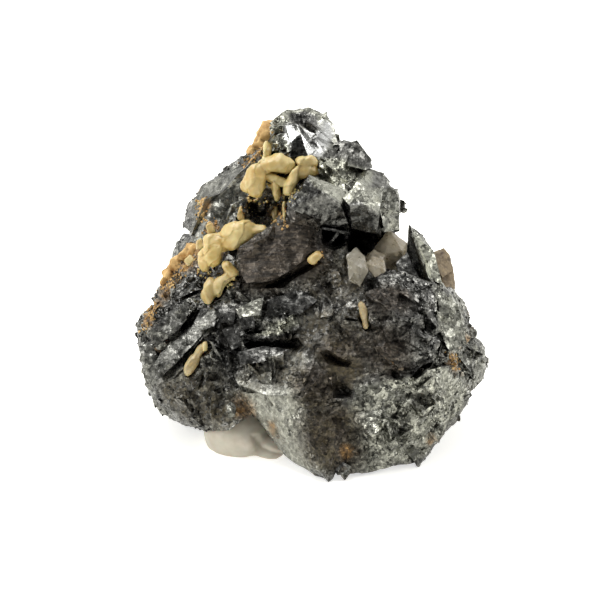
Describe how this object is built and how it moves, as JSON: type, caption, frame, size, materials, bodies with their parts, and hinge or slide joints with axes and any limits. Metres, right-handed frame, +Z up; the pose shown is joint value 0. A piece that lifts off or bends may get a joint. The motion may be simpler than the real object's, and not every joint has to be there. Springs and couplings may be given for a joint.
{
  "type": "mineral specimen",
  "caption": "Steel-grey metallic tetrahedrite mass with tan siderite lenses, smoky quartz and iron crusts, propped on putty.",
  "frame": {"origin": "bottom centre of the specimen's bounding box, on the table", "axes": "+Z up from the table, +X to the specimen's right as it is viewed, +Y away from the viewer"},
  "size_m": [0.0558, 0.0504, 0.0485],
  "materials": {
    "tetrahedrite": "metallic lustre, rough",
    "siderite": "waxy",
    "iron_crust": "earthy",
    "ankerite": "dull",
    "quartz": "clear, smoky",
    "putty": "matt"
  },
  "bodies": {
    "root": {"tetrahedrite": "tetrahedrite", "siderite_upper": "siderite", "siderite_middle": "siderite", "siderite_lower": "siderite", "siderite_chip": "siderite", "siderite_blade": "siderite", "siderite_wedge": "siderite", "crust_summit": "iron_crust", "crust_left": "iron_crust", "quartz": "quartz", "ankerite": "ankerite", "putty": "putty"}
  },
  "joints": []
}
